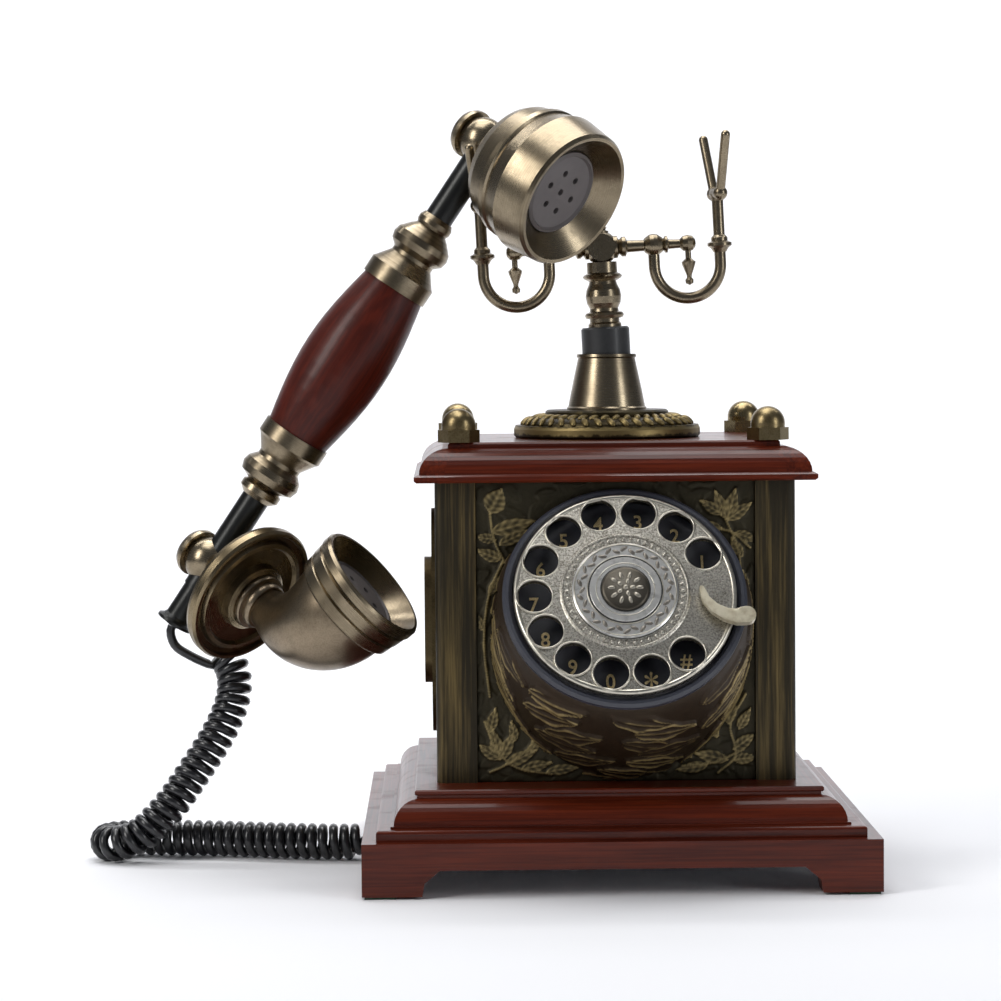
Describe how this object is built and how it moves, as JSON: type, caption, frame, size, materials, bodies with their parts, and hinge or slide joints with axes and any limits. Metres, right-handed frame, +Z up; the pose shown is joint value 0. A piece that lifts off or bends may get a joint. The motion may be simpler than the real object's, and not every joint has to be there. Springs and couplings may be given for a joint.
{
  "type": "cradle telephone with rotary dial",
  "caption": "Square metal-cased telephone on a wooden plinth, with a spring-return finger dial, a sprung cradle and a gooseneck handset hung from one fork.",
  "frame": {"origin": "middle of the plinth's underside, on the surface it stands on", "axes": "+X to the right of someone facing the dial, +Y to the back, +Z up"},
  "size_m": [0.3155, 0.2125, 0.3076],
  "materials": {
    "mahogany": "glossy red-brown lacquer",
    "grip_wood": "satin dark red-brown lacquer",
    "case_bronze": "dark bronze paint with rubbed gold high spots",
    "antique_brass": "brushed antique bronze",
    "antique_silver": "stippled antique silver",
    "black_enamel": "black enamel",
    "gunmetal": "dark satin gunmetal",
    "grey_plastic": "matt grey",
    "steel": "plated",
    "contact_brass": "bare brass",
    "board_green": "solder mask",
    "felt": "felt",
    "black_plastic": "glossy black"
  },
  "bodies": {
    "case": {"front_rail": "mahogany", "back_rail": "mahogany", "side_rails": "mahogany", "felt_pads": "felt", "base_cover": "steel", "cover_screws": "steel", "step_board": "mahogany", "cove_moulding": "mahogany", "case_board": "mahogany", "cord_jack": "black_plastic", "corner_posts": "case_bronze", "front_panel": "case_bronze", "back_panel": "case_bronze", "side_panels": "case_bronze", "side_reliefs": "antique_brass", "line_jack": "black_plastic", "circuit_board": "board_green", "ringer": "contact_brass", "tie_rods": "steel", "lid_moulding": "mahogany", "lid_board": "mahogany", "acorn_nuts": "antique_brass", "dial_housing": "case_bronze", "bezel_ring": "black_enamel", "number_plate": "black_enamel", "finger_stop": "antique_silver", "dial_frame": "steel", "pulse_contacts": "contact_brass", "dial_spring": "steel", "lid_flange": "antique_brass", "guide_cone": "antique_brass", "plunger_guide": "steel", "plunger_spring": "steel", "hook_switch": "contact_brass", "cord_lead": "black_plastic", "cord_curl": "black_plastic", "cord_tail": "black_plastic", "cord_plug": "black_plastic"},
    "dial": {"finger_wheel": "antique_silver", "wheel_cap": "antique_silver", "dial_shaft": "steel"},
    "governor_rotor": {"governor": "contact_brass"},
    "cradle": {"plunger_collar": "black_enamel", "plunger_rod": "steel", "column": "antique_brass", "cradle_arms": "antique_brass", "cradle_hooks": "antique_brass", "cradle_forks": "antique_brass"},
    "handset": {"handset_rod": "gunmetal", "handset_grip": "grip_wood", "grip_ferrules": "antique_brass", "rod_balls": "antique_brass", "ear_shell": "antique_brass", "ear_insert": "grey_plastic", "receiver": "steel", "mouth_plate": "antique_brass", "mouth_elbow": "antique_brass", "mouth_cup": "antique_brass", "transmitter": "grey_plastic", "cord_grommet": "black_plastic"}
  },
  "joints": [
    {"name": "dial_turn", "type": "hinge", "parent": "case", "child": "dial", "pos_m": [0.002, -0.087, 0.1142], "axis": [0, 0.8508, -0.5255], "range_deg": [0, 325], "stiffness_Nm_per_rad": 0.004, "springref_deg": -34.38},
    {"name": "governor_spin", "type": "hinge", "parent": "case", "child": "governor_rotor", "pos_m": [0.002, -0.09541, 0.10059], "axis": [0, 0.8508, -0.5255], "range_deg": [-1900, 0]},
    {"name": "cradle_press", "type": "slide", "parent": "case", "child": "cradle", "axis": [0.0454, 0, -0.999], "range_m": [0, 0.0045], "stiffness_N_per_m": 900, "springref_m": -0.0045, "deforming": ["plunger_spring"]},
    {"name": "handset_lift", "type": "slide", "parent": "case", "child": "handset", "axis": [-0.0999, -0.2996, 0.9488], "range_m": [0, 0.03]}
  ],
  "couplings": [
    {"joint": "governor_spin", "follows": "dial_turn", "ratio": -5.5}
  ]
}
